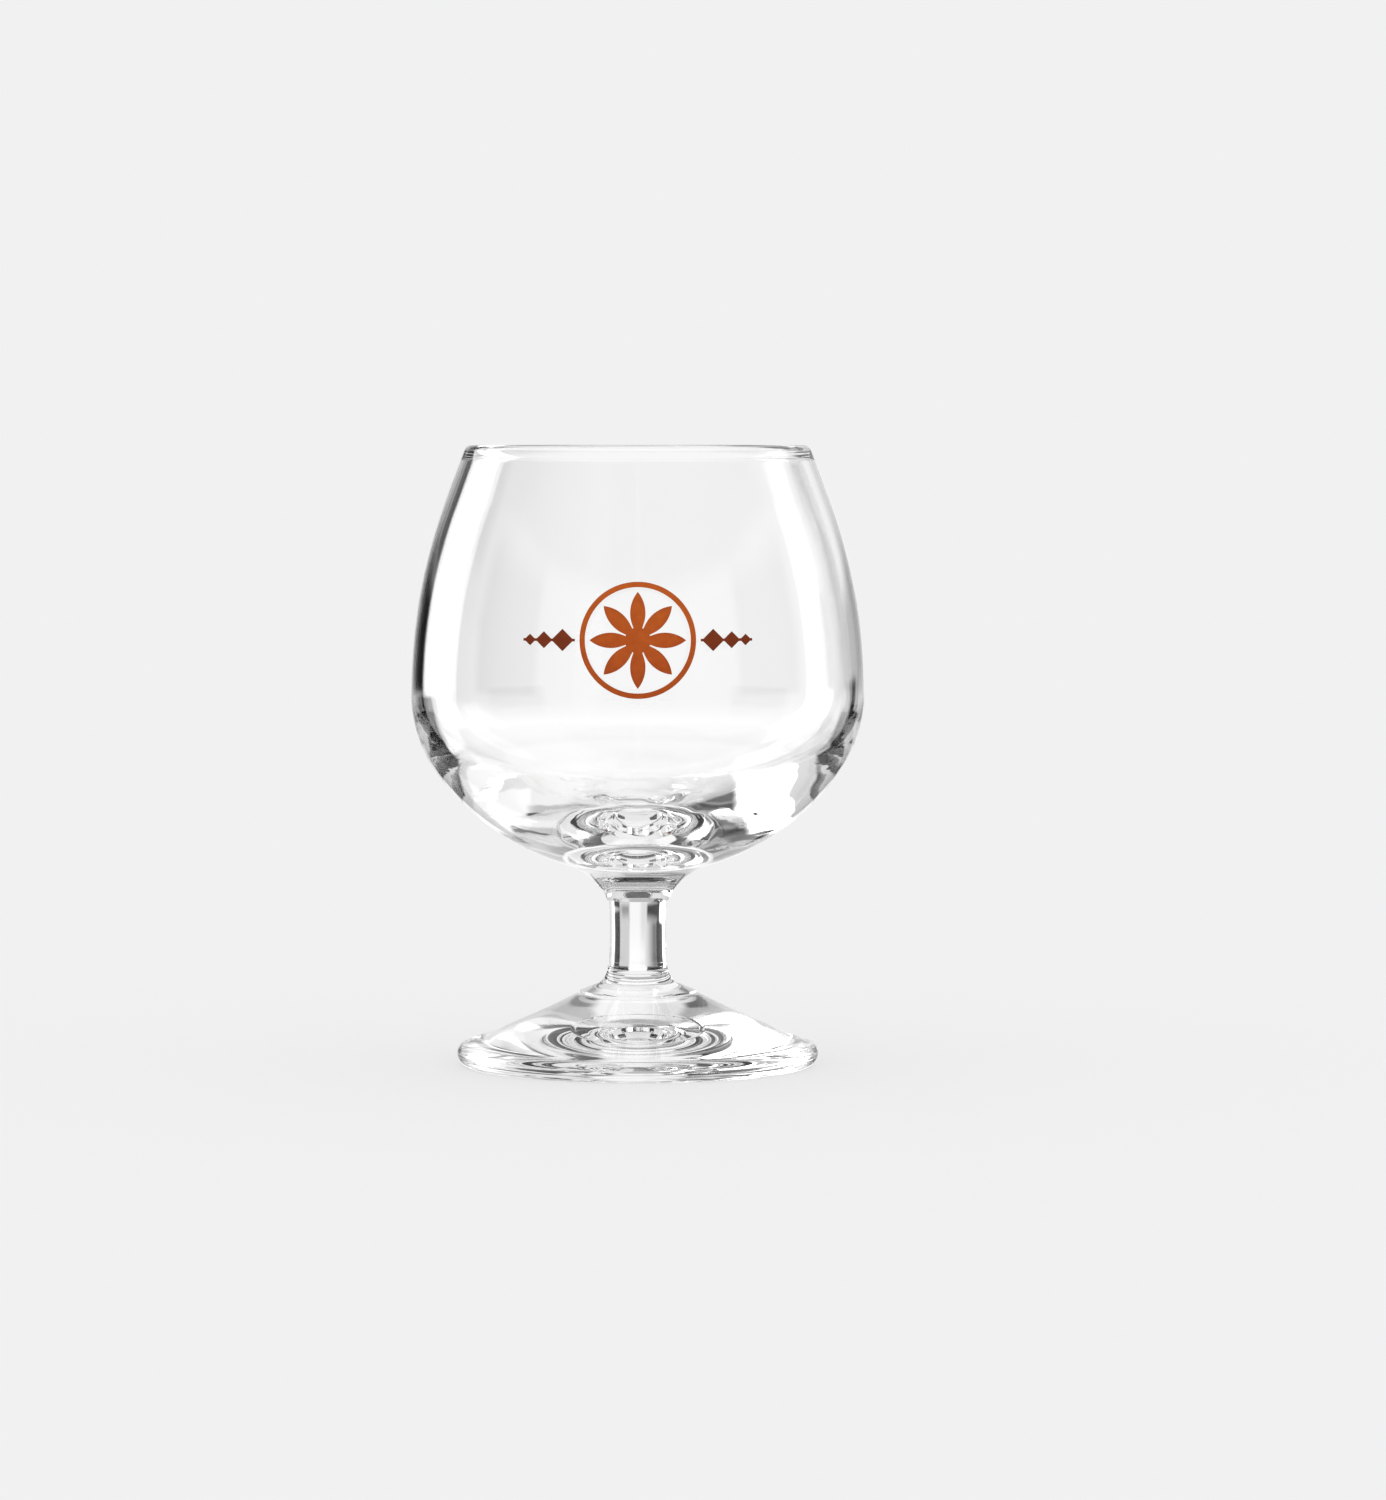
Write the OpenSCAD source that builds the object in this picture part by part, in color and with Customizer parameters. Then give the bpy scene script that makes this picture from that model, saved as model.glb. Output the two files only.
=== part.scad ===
// Brandy snifter: a blown bowl, two collars, a short solid stem and a turned foot, with a fired-ink ornament.
// Millimetres. The axis is Z, the foot stands on Z = 0 and the ornament faces -Y.

/* [Bowl] */
// Height of the rim above the table
glass_h = 109.5; // [105.5:0.5:113.5]
// Widest diameter of the bowl
belly_d = 80; // [70:0.5:90]
// Radius of the side curve above the widest part
shoulder_r = 97.5; // [85:0.5:110]
// The straight wall under the rim leans in by this much ...
lean_in = 4.4; // [3.6:0.1:5]
// ... over this rise
lean_rise = 11.7; // [10.5:0.1:14]
// Radius of the side curve below the widest part, as a share of the bowl's radius
cheek_share = 0.61; // [0.55:0.01:0.7]
// Radius of the round bottom, as a share of the bowl's radius
bottom_share = 1.0975; // [1.05:0.0025:1.2]
// Thickness of the wall
wall_t = 2.1; // [1.6:0.1:2.6]
// How far the melted rim swells beyond each side of the wall
rim_swell = 0.04; // [0.02:0.01:0.1]
// Thickness of the glass under the middle of the bowl
floor_t = 6.9; // [6:0.1:8]
// How far the middle of the floor lies below the curve between wall and floor
floor_crown = 8.4; // [7:0.1:10]

/* [Collar under the bowl] */
// Height of the collar
bowl_collar_h = 6.1; // [5:0.1:7]
// How far the joint lies above the lowest point of the bowl's round bottom
joint_rise = 1.7; // [1.2:0.1:2]
// Radius of the hollow curve under the bowl
bowl_flare_r = 12; // [9:0.1:16]
// Height of the neck between stem and hollow curve
neck_h = 1.9; // [1.4:0.1:2.4]
// How far the neck stands out over the stem
neck_lip = 0.35; // [0.1:0.05:0.6]
// How far the neck widens towards the bowl, on each side
neck_spread = 0.85; // [0.4:0.05:1.2]
// Width of the ledge between neck and hollow curve
neck_ledge = 0.2; // [0.1:0.05:0.4]

/* [Stem] */
// Diameter of the stem at its ends
stem_d = 10.2; // [8:0.1:12]
// Length of the stem
stem_h = 11.6; // [10:0.1:12]
// How much thinner the stem is at mid length, on each side
waist = 0.17; // [0.05:0.01:0.4]
// Straight length at each end of the stem
stem_land = 0.5; // [0.2:0.1:1.5]

/* [Collar on the foot] */
// Height of the collar
foot_collar_h = 4.7; // [4.2:0.1:5.2]
// How far the collar stands out under the stem
foot_lip = 0.2; // [0.05:0.05:0.5]
// Radius of the hollow curve from stem to shoulder
foot_flare_r = 4; // [3.7:0.1:4.4]
// Diameter of the collar's base
ring_d = 20.6; // [19:0.1:22]
// Height of the edge that stands proud of the foot
ring_edge = 0.3; // [0.1:0.05:0.5]
// How far the hollow curve's column reaches under it, as a share of the curve's radius
flare_reach_share = 0.6; // [0.5:0.05:0.7]
// Slope of the shoulder, in degrees
shoulder_slope = 20.4; // [17:0.1:24]

/* [Foot] */
// Diameter of the foot
foot_d = 64; // [60:0.5:68]
// Height of the foot under its collar
foot_h = 12.9; // [11.9:0.1:13.9]
// Radius of the foot's round edge
edge_r = 2.1; // [1.8:0.05:2.4]
// How much of the round edge the flat underside takes off
edge_flat = 0.06; // [0.03:0.01:0.15]
// Radius of the hollow sweep of the foot's upper side
sweep_r = 180; // [140:1:260]
// Slope of the upper side where it runs into the edge, in degrees
edge_slope = 20; // [19:0.1:21]
// Diameter of the hollow under the foot
kick_d = 52; // [46:0.5:55]
// Depth of the hollow under the foot
kick_h = 3.6; // [2.4:0.1:4.4]

/* [Ornament] */
// Thickness of the fired ink
ink_t = 0.12; // [0.08:0.01:0.2]
// Height of the ornament's centre above the widest part of the bowl
ornament_rise = 10.7; // [10.2:0.1:22]
// Number of petals
petals = 8; // [6:1:10]
// Distance from the rosette's centre to the petal tips
petal_tip = 8.2; // [7:0.1:8.6]
// Distance from the rosette's centre to the petals' inner points
petal_root = 1; // [0.5:0.1:1.6]
// Width of a petal
petal_w = 2.6; // [1.8:0.1:2.8]
// Diameter of the rosette's centre
eye_d = 4.4; // [3.6:0.1:5]
// Inside diameter of the ring
ink_ring_d = 18; // [17.6:0.1:18.4]
// Width of the ring's line
line_w = 0.9; // [0.5:0.1:1]
// Length of each side bar
bar_l = 8.8; // [8:0.1:10]
// Gap between ring and side bar
bar_gap = 0.8; // [0.5:0.1:1.5]
// Height of the rule along a side bar
rule_h = 0.45; // [0.3:0.05:0.8]
// Across the largest lozenge
lozenge_d = 3.8; // [3:0.1:4]
// Each lozenge's size, as a share of the largest
lozenge_shares = [1, 0.76, 0.52];
// Each lozenge's place, as a share of the bar's length
lozenge_place_shares = [0.24, 0.6, 0.87];

/* [Hidden] */
$fn = 240;
// Overrun of cutting and covering shapes
overrun = 1;

// Stack of pieces from the table up
stem_r = stem_d / 2;
stem_low_z = foot_h + foot_collar_h;
stem_top_z = stem_low_z + stem_h;
neck_top_z = stem_top_z + neck_h;
bowl_low_z = stem_top_z + bowl_collar_h;
ring_r = ring_d / 2;

// Bowl, outside: the round bottom and the side curve touch without a crease
belly_r = belly_d / 2;
cheek_r = cheek_share * belly_r;
cheek_x = belly_r - cheek_r;
bottom_r = bottom_share * belly_r;
bottom_rise = sqrt(pow(bottom_r - cheek_r, 2) - pow(cheek_x, 2));
bottom_centre_z = bowl_low_z - joint_rise + bottom_r;
belly_z = bottom_centre_z - bottom_rise;
cheek_low_z = belly_z - cheek_r * bottom_rise / (bottom_r - cheek_r);
bowl_joint_r = sqrt(pow(bottom_r, 2) - pow(bottom_r - joint_rise, 2));
shoulder_x = belly_r - shoulder_r;

// Bowl, inside: the round floor and the corner curve touch without a crease
inner_belly_r = belly_r - wall_t;
inner_shoulder_r = shoulder_r - wall_t;
floor_z = bottom_centre_z - bottom_r + floor_t;
corner_r = belly_z - floor_z - floor_crown;
corner_x = inner_belly_r - corner_r;
floor_reach = (pow(corner_x, 2) + pow(floor_crown, 2)) / (2 * floor_crown);
floor_r = floor_reach + corner_r;
corner_low_z = belly_z - corner_r * (floor_reach - floor_crown) / floor_reach;

// Wall above the belly: an arc about shoulder_centre, then a straight wall up to the middle of the rim
lean = [lean_rise, lean_in] / norm([lean_rise, lean_in]);
up_wall = [-lean[1], lean[0]];
shoulder_centre = [shoulder_x, belly_z];
rim_r = wall_t / 2 + rim_swell;
rim_z = glass_h - rim_r;
straight_l = (rim_z - belly_z - (shoulder_r - wall_t / 2) * lean[1]) / lean[0];
rim_centre = shoulder_centre + (shoulder_r - wall_t / 2) * lean + straight_l * up_wall;

// Collar under the bowl: the hollow curve runs from the joint's edge to the ledge of the neck
neck_low_r = stem_r + neck_lip;
neck_top_r = neck_low_r + neck_spread;
ledge_r = neck_top_r + neck_ledge;
flare_run = [bowl_joint_r - ledge_r, bowl_low_z - neck_top_z];
flare_offset = sqrt(pow(bowl_flare_r, 2) - pow(norm(flare_run) / 2, 2)) / norm(flare_run);
flare_centre = [ledge_r, neck_top_z] + flare_run / 2 + flare_offset * [flare_run[1], -flare_run[0]];

// Collar on the foot
lip_r = stem_r + foot_lip;

// Stem waist
waist_half = stem_h / 2 - stem_land;
waist_r = (pow(waist_half, 2) + pow(waist, 2)) / (2 * waist);

// Foot: the sweep runs from the collar's ring to the round edge
edge_x = foot_d / 2 - edge_r;
edge_z = edge_r - edge_flat;
sweep_end = [edge_x, edge_z] + (edge_r - edge_flat) * [sin(edge_slope), cos(edge_slope)];
sweep_run = sweep_end - [ring_r, foot_h];
sweep_offset = sqrt(pow(sweep_r, 2) - pow(norm(sweep_run) / 2, 2)) / norm(sweep_run);
sweep_centre = [ring_r, foot_h] + sweep_run / 2 + sweep_offset * [-sweep_run[1], sweep_run[0]];
kick_r = (pow(kick_d / 2, 2) + pow(kick_h, 2)) / (2 * kick_h);

// Ornament
petal_l = petal_tip - petal_root;
petal_arc_r = (pow(petal_l, 2) + pow(petal_w, 2)) / (4 * petal_w);
bar_x = ink_ring_d / 2 + line_w + bar_gap;

glass_colour = [0.85, 0.9, 0.9, 0.45];
orange_ink = [0.74, 0.35, 0.1];
brown_ink = [0.48, 0.2, 0.07];

// Part of a disc between two heights, from the axis outwards
module disc_band(centre_x, centre_z, r, low, high) {
    intersection() {
        translate([centre_x, centre_z]) circle(r = r);
        translate([0, low]) square([centre_x + r + overrun, high - low]);
    }
    if (centre_x > 0) translate([0, low]) square([centre_x, high - low]);
}

// Straight-sided band from the axis outwards
module cone_band(low_r, low, high_r, high) {
    polygon([[0, low], [low_r, low], [high_r, high], [0, high]]);
}

// Wall above the belly
module shoulder_wall() {
    far = 2 * shoulder_r;
    difference() {
        intersection() {
            translate(shoulder_centre) circle(r = shoulder_r);
            polygon([shoulder_centre, shoulder_centre + [far, 0], shoulder_centre + far * lean]);
        }
        translate(shoulder_centre) circle(r = inner_shoulder_r);
    }
    polygon([
        shoulder_centre + inner_shoulder_r * lean,
        shoulder_centre + shoulder_r * lean,
        rim_centre + wall_t / 2 * lean,
        rim_centre - wall_t / 2 * lean
    ]);
    translate(rim_centre) circle(r = rim_r);
}

// Thick lower half of the bowl
module cup() {
    difference() {
        union() {
            disc_band(0, bottom_centre_z, bottom_r, bowl_low_z, cheek_low_z);
            disc_band(cheek_x, belly_z, cheek_r, cheek_low_z, belly_z);
        }
        disc_band(0, floor_z + floor_r, floor_r, floor_z - overrun, corner_low_z);
        disc_band(corner_x, belly_z, corner_r, corner_low_z, belly_z);
    }
}

module bowl() {
    color(glass_colour)
    rotate_extrude() {
        cup();
        shoulder_wall();
    }
}

module bowl_collar() {
    color(glass_colour)
    rotate_extrude() {
        cone_band(neck_low_r, stem_top_z, neck_top_r, neck_top_z);
        difference() {
            translate([0, neck_top_z]) square([bowl_joint_r + overrun, bowl_low_z - neck_top_z]);
            translate(flare_centre) circle(r = bowl_flare_r);
        }
    }
}

module stem() {
    color(glass_colour)
    rotate_extrude()
    difference() {
        translate([0, stem_low_z]) square([stem_r, stem_h]);
        translate([stem_r - waist + waist_r, stem_low_z + stem_h / 2]) circle(r = waist_r);
    }
}

module foot_collar() {
    shoulder_rise = ring_r * tan(shoulder_slope);
    color(glass_colour)
    rotate_extrude() {
        translate([0, foot_h]) square([ring_r, ring_edge]);
        cone_band(ring_r, foot_h + ring_edge, 0, foot_h + ring_edge + shoulder_rise);
        difference() {
            translate([0, foot_h]) square([lip_r + flare_reach_share * foot_flare_r, foot_collar_h]);
            translate([lip_r + foot_flare_r, stem_low_z]) circle(r = foot_flare_r);
        }
    }
}

module foot() {
    color(glass_colour)
    rotate_extrude()
    difference() {
        intersection() {
            union() {
                polygon([[0, 0], [edge_x, 0], sweep_end, [ring_r + overrun, foot_h], [0, foot_h]]);
                translate([edge_x, edge_z]) circle(r = edge_r);
            }
            square([foot_d / 2 + overrun, foot_h]);
        }
        translate(sweep_centre) circle(r = sweep_r);
        translate([0, kick_h - kick_r]) circle(r = kick_r);
    }
}

// Ink on the bowl's side, in the shape of the flat drawing given
module ink(colour) {
    color(colour)
    intersection() {
        rotate_extrude()
        difference() {
            disc_band(shoulder_x, belly_z, shoulder_r + ink_t, belly_z, rim_z);
            translate(shoulder_centre) circle(r = shoulder_r);
        }
        translate([0, 0, belly_z + ornament_rise]) rotate([90, 0, 0]) linear_extrude(belly_d) children();
    }
}

module petal() {
    intersection() {
        translate([petal_arc_r - petal_w / 2, petal_root + petal_l / 2]) circle(r = petal_arc_r);
        translate([petal_w / 2 - petal_arc_r, petal_root + petal_l / 2]) circle(r = petal_arc_r);
    }
}

module print_rosette() {
    ink(orange_ink) {
        circle(d = eye_d);
        for (turn = [0 : petals - 1]) rotate(turn * 360 / petals) petal();
    }
}

module print_ring() {
    ink(orange_ink)
    difference() {
        circle(d = ink_ring_d + 2 * line_w);
        circle(d = ink_ring_d);
    }
}

// A rule with lozenges that shrink away from the ring
module bar() {
    translate([bar_x, -rule_h / 2]) square([bar_l, rule_h]);
    for (i = [0 : len(lozenge_shares) - 1])
        translate([bar_x + bar_l * lozenge_place_shares[i], 0])
        rotate(45)
        square(lozenge_d * lozenge_shares[i] / sqrt(2), center = true);
}

module print_bar_left() {
    ink(brown_ink) mirror([1, 0]) bar();
}

module print_bar_right() {
    ink(brown_ink) bar();
}

bowl();
bowl_collar();
stem();
foot_collar();
foot();
print_rosette();
print_ring();
print_bar_left();
print_bar_right();
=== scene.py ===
"""Brandy snifter: five turned pieces of clear glass with a fired-ink ornament, in studio light."""

import functools
import math

import bpy
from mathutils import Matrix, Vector


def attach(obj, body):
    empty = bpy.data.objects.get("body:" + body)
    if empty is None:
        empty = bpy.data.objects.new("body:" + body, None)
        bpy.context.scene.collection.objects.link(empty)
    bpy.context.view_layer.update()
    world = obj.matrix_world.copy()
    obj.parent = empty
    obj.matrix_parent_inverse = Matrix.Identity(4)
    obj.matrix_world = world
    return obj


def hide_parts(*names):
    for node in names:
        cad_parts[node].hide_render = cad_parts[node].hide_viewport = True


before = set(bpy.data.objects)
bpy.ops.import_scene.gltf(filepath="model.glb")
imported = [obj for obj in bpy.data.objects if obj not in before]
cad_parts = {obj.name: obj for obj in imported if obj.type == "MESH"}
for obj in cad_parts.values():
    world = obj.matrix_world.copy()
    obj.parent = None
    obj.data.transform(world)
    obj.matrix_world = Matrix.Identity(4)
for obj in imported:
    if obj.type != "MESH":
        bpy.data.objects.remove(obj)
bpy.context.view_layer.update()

MM = 0.001

# Sizes of the glass in millimetres, as in the part's source
GLASS_H = 109.5
BELLY_R = 40.0
SHOULDER_R = 97.5
LEAN_IN, LEAN_RISE = 4.4, 11.7
CHEEK_SHARE, BOTTOM_SHARE = 0.61, 1.0975
WALL_T = 2.1
RIM_SWELL = 0.04
FLOOR_T, FLOOR_CROWN = 6.9, 8.4
BOWL_COLLAR_H, JOINT_RISE = 6.1, 1.7
BOWL_FLARE_R = 12.0
NECK_H, NECK_LIP, NECK_SPREAD, NECK_LEDGE = 1.9, 0.35, 0.85, 0.2
STEM_R, STEM_H, WAIST, STEM_LAND = 5.1, 11.6, 0.17, 0.5
FOOT_COLLAR_H, FOOT_LIP, FOOT_FLARE_R = 4.7, 0.2, 4.0
RING_R, RING_EDGE, SHOULDER_SLOPE = 10.3, 0.3, 20.4
FOOT_R, FOOT_H, EDGE_R, EDGE_FLAT = 32.0, 12.9, 2.1, 0.06
SWEEP_R, EDGE_SLOPE = 180.0, 20.0
KICK_R, KICK_H = 26.0, 3.6

# Stack of pieces from the table up
STEM_LOW_Z = FOOT_H + FOOT_COLLAR_H
STEM_TOP_Z = STEM_LOW_Z + STEM_H
NECK_TOP_Z = STEM_TOP_Z + NECK_H
BOWL_LOW_Z = STEM_TOP_Z + BOWL_COLLAR_H

# Bowl: centres and radii of its curves
CHEEK_R = CHEEK_SHARE * BELLY_R
CHEEK_X = BELLY_R - CHEEK_R
BOTTOM_R = BOTTOM_SHARE * BELLY_R
BOTTOM_RISE = math.sqrt((BOTTOM_R - CHEEK_R) ** 2 - CHEEK_X**2)
BOTTOM_Z = BOWL_LOW_Z - JOINT_RISE + BOTTOM_R
BELLY_Z = BOTTOM_Z - BOTTOM_RISE
JOINT_R = math.sqrt(BOTTOM_R**2 - (BOTTOM_R - JOINT_RISE) ** 2)
SHOULDER_X = BELLY_R - SHOULDER_R
FLOOR_Z = BOTTOM_Z - BOTTOM_R + FLOOR_T
CORNER_R = BELLY_Z - FLOOR_Z - FLOOR_CROWN
CORNER_X = BELLY_R - WALL_T - CORNER_R
FLOOR_REACH = (CORNER_X**2 + FLOOR_CROWN**2) / (2 * FLOOR_CROWN)
FLOOR_R = FLOOR_REACH + CORNER_R

# Ornament on the front of the bowl: sizes in millimetres, as in the part's source
INK_T = 0.12
ORNAMENT_RISE = 10.7
PETALS, PETAL_TIP, PETAL_ROOT, PETAL_W, EYE_R = 8, 8.2, 1.0, 2.6, 2.2
INK_RING_R, LINE_W = 9.0, 0.9
BAR_GAP, BAR_L, RULE_H = 0.8, 8.8, 0.45
LOZENGE_D = 3.8
LOZENGE_SHARES = (1.0, 0.76, 0.52)
LOZENGE_PLACE_SHARES = (0.24, 0.6, 0.87)
ORNAMENT_Z = BELLY_Z + ORNAMENT_RISE
BAR_X = INK_RING_R + LINE_W + BAR_GAP
# The film of ink reaches this deep into the glass, and is a slab this thick before it is laid
INK_SINK, SLAB_T = 0.02, 1.0

# Fineness: steps along curves (millimetres, degrees) and straight runs, facets round the axis,
# and the grid of each drawing in ink
CURVE_STEP, CURVE_STEP_DEG, STRAIGHT_STEP = 1.0, 3.0, 2.0
FACETS = 288
ROSETTE_GRID = {"Steps": 90, "Rings": 12}
INK_RING_GRID = {"Steps": 240, "Rings": 8}
BAR_GRID = {"Steps": 352, "Rings": 4}
# Points this close, in millimetres, are one point
SAME_POINT, WELD = 1e-6, 0.002
# Folds sharper than this, in degrees, keep a crisp edge
GLASS_FOLD, INK_FOLD = 28, 40

# Clear glass: its waves (millimetres), calmed up the blown wall and down towards the foot's edge,
# and a breath of haze
GLASS_IOR = 1.51
WAVE_T, WAVE_SCALE, WAVE_DETAIL, WAVE_GRAIN = 0.09, 95.0, 2.0, 0.45
WALL_HEIGHTS, WALL_CALM = (46, 64), 0.12
FOOT_HEIGHTS, FOOT_CALM = (12, 30), 0.05
HAZE_SCALE, HAZE_DETAIL, HAZE_GRAIN = 420.0, 3.0, 0.6
HAZE_SPAN, HAZE_ROUGHNESS = (0.35, 0.75), (0.0, 0.006)

# Fired ink: each colour and its deeper tone, the mottle, and the fine grain of the satin skin
ORANGE, DEEP_ORANGE = (0.52, 0.104, 0.0098, 1), (0.36, 0.054, 0.0042, 1)
BROWN, DEEP_BROWN = (0.215, 0.034, 0.005, 1), (0.14, 0.021, 0.0032, 1)
INK_IOR, INK_SHINE = 1.5, 0.15
# the print grows darker towards the bottom
LOW_DARKENING_HEIGHTS, LOW_DARKENING = (64, 88), (0.75, 0.0)
MOTTLE_SCALE, MOTTLE_DETAIL, MOTTLE_GRAIN = 700.0, 4.0, 0.6
MOTTLE_SPAN, MOTTLE_DEPTH, SATIN = (0.3, 0.7), (-0.16, 0.3), (0.28, 0.46)
# painted shadow: the ink is darkened towards each stroke's edge
EDGE_SHADE_SPAN, EDGE_SHADE_DEPTH = (0.75, 1.0), (0.0, 0.3)
GRAIN_SCALE, GRAIN_DETAIL, GRAIN_MIX = 5200.0, 2.0, 0.5
GRAIN_T, GRAIN_STRENGTH = 0.03, 0.3

# Studio: the pale background, the table and how much of its paleness is its own, and the even
# light on what is lit
WHITE = (1, 1, 1, 1)
PALE = 0.8796
TABLE_M, TABLE_GLOW = 2.5, 0.72
EVEN_LIGHT = 1.0
# What the glass shows: the surround, and panels laid over it in this order, each with its azimuth
# from the back (right is positive), its elevation, its brightness and its soft edges, in degrees
SURROUND = 0.8
PANELS = (
    ((-180, 180), (68, 92), 0.1, (1, 8)),  # dark gap in the ceiling
    ((-62, 10), (50, 92), 0.08, (10, 8)),
    ((-180, 180), (-90, -50), 0.92, (1, 8)),  # pale under the table
    ((-180, -72), (-50, -28), 0.05, (6, 8)),  # low walls
    ((25, 180), (-50, -28), 0.05, (6, 8)),
    ((42, 70), (-30, -16), 0.05, (6, 6)),
    ((-70, -40), (-50, -25), 0.12, (6, 6)),
    ((-40, -12), (-50, -25), 1.0, (6, 6)),
    ((12, 26), (-50, -25), 0.8, (6, 6)),
    ((-126, -89), (4, 22), 0.02, (5, 10)),  # flags beside the camera
    ((-126, -89), (-1.5, 10), 0.02, (5, 1.5)),
    ((89, 126), (4, 22), 0.02, (5, 10)),
    ((89, 126), (-1.5, 10), 0.02, (5, 1.5)),
    ((42, 80), (-10, 16), 1.05, (3, 4)),  # pale wall on the right
    ((-38, 12), (16, 46), 0.46, (6, 6)),  # backdrop
    ((-14, 0), (-8, 20), 0.74, (5, 10)),
    ((-4, 14), (-50, 20), 0.95, (7, 8)),
    ((-13, 13), (-34, -7), 1.05, (3, 8)),
    ((12, 26), (4, 14), 0.6, (4, 3)),  # right flag
    ((12, 26), (-4, 4), 0.26, (4, 3)),
    ((24, 42), (4, 14), 0.9, (6, 3)),
    ((24, 42), (-4, 4), 0.5, (6, 3)),
    ((13, 46), (-27, -9), 0.02, (3, 2)),
    ((-38, -24), (5, 16), 0.07, (3, 3)),  # left flag
    ((-25, -12), (5, 16), 0.38, (4, 3)),
    ((-38, -13), (-27, 5), 0.01, (3, 3)),
    ((-38, -25), (14, 30), 0.06, (3, 3)),
    ((-52, -36), (-27, -4), 0.01, (3, 3)),
    ((60, 76), (10, 42), 2.0, (4, 4)),  # right softbox
    ((-71, -40), (-3, 44), 4.0, (3, 3)),  # left softbox
    ((-71, -52), (-25, -2), 3.0, (3, 3)),
    ((-33, -10), (-9.5, -3), 0.85, (4, 2)),  # level strip that the stem shows
    ((-36, -18), (-9.5, -3), 0.12, (22, 2)),
    ((12, 29), (-9.5, -2.5), 0.62, (4, 2)),
    ((29, 44), (-9.5, -1.5), 0.01, (3, 1)),
    ((-50, -31), (-9.5, -3), 0.01, (3, 1)),
)

# Camera: lens and sensor in millimetres, place and aim in metres
LENS, SENSOR = 136.0, 36
SHIFT_X, SHIFT_Y = 0.0368, 0.0102
CAMERA_PLACE, CAMERA_AIM = (0, -1.0, 0.111), (0, 0, 0.053)

# Light goes through many walls of glass before it is lost
GLASS_BOUNCES, GLOSSY_BOUNCES = 40, 24

GLASS_SLOT, ORANGE_SLOT, BROWN_SLOT = "clear_glass", "orange_ink", "brown_ink"


# Node helpers

def add(tree, kind, ins=None, **settings):
    """A node with its settings and its inputs, which are values or sockets to link from."""
    made = tree.nodes.new(kind)
    for key, value in settings.items():
        setattr(made, key, value)
    for key, value in (ins or {}).items():
        if isinstance(value, bpy.types.NodeSocket):
            tree.links.new(value, made.inputs[key])
        else:
            made.inputs[key].default_value = value
    return made


def maths(tree, operation, *values):
    """The result of one sum."""
    return add(tree, "ShaderNodeMath", dict(enumerate(values)), operation=operation).outputs[0]


def ramp(tree, value, span, ends, shape="LINEAR"):
    """Turns a value that runs over a span into one that runs between two ends."""
    ins = {"Value": value, "From Min": span[0], "From Max": span[1]}
    ins.update({"To Min": ends[0], "To Max": ends[1]})
    return add(tree, "ShaderNodeMapRange", ins, interpolation_type=shape).outputs[0]


def covered(tree, share, under, over):
    """A value, covered to some share by another. Sockets 2 and 3 of a Mix node are its values."""
    return add(tree, "ShaderNodeMix", {0: share, 2: under, 3: over}, data_type="FLOAT").outputs[0]


def noise(tree, place, scale, detail, grain):
    ins = {"Vector": place, "Scale": scale, "Detail": detail, "Roughness": grain}
    return add(tree, "ShaderNodeTexNoise", ins).outputs["Fac"]


def geometry_tree(name, sizes):
    """A geometry tree with named inputs. Returns the tree and its inputs by name."""
    tree = bpy.data.node_groups.new(name, "GeometryNodeTree")
    tree.interface.new_socket("Geometry", in_out="OUTPUT", socket_type="NodeSocketGeometry")
    for label, kind in sizes.items():
        tree.interface.new_socket(label, in_out="INPUT", socket_type="NodeSocket" + kind)
    entry = tree.nodes.new("NodeGroupInput")
    return tree, {s.name: s for s in entry.outputs if s.name}


def made_by(tree, name, **sizes):
    """A piece whose plain mesh is made by a geometry tree at these sizes."""
    piece = bpy.data.objects.new(name, bpy.data.meshes.new(name + "_start"))
    bpy.context.scene.collection.objects.link(piece)
    modifier = piece.modifiers.new("shape", "NODES")
    modifier.node_group = tree
    for socket in tree.interface.items_tree:
        label = socket.name.replace(" ", "_")
        if socket.in_out == "INPUT" and label in sizes:
            modifier[socket.identifier] = sizes[label]
    graph = bpy.context.evaluated_depsgraph_get()
    plain = bpy.data.meshes.new_from_object(piece.evaluated_get(graph))
    piece.modifiers.remove(modifier)
    start, piece.data = piece.data, plain
    bpy.data.meshes.remove(start)
    plain.name = name
    return piece


# Outlines of the turned pieces, as lists of (radius, height)

def arc(centre, first, last):
    """Points on the circle about centre from first to last, the short way round."""
    radius = math.dist(centre, first)
    start = math.atan2(first[1] - centre[1], first[0] - centre[0])
    turn = math.atan2(last[1] - centre[1], last[0] - centre[0]) - start
    turn = (turn + math.pi) % (2 * math.pi) - math.pi
    by_length = math.ceil(abs(turn) * radius / CURVE_STEP)
    by_angle = math.ceil(math.degrees(abs(turn)) / CURVE_STEP_DEG)
    count = max(2, by_length, by_angle)
    angles = [start + turn * i / count for i in range(count + 1)]
    return [(centre[0] + radius * math.cos(a), centre[1] + radius * math.sin(a)) for a in angles]


def line(first, last):
    """Points on a straight run."""
    count = max(1, math.ceil(math.dist(first, last) / STRAIGHT_STEP))
    across, up = last[0] - first[0], last[1] - first[1]
    return [
        (first[0] + across * i / count, first[1] + up * i / count) for i in range(count + 1)
    ]


def outline(*runs):
    """Runs joined end to end, each (points, fused). Fused runs are where two pieces meet."""
    points, fused = [], []
    for run, is_fused in runs:
        run = run[1:] if points and math.dist(points[-1], run[0]) < SAME_POINT else run
        if points:
            fused[-1] = is_fused
        points += run
        fused += [is_fused] * len(run)
    return points, fused


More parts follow.
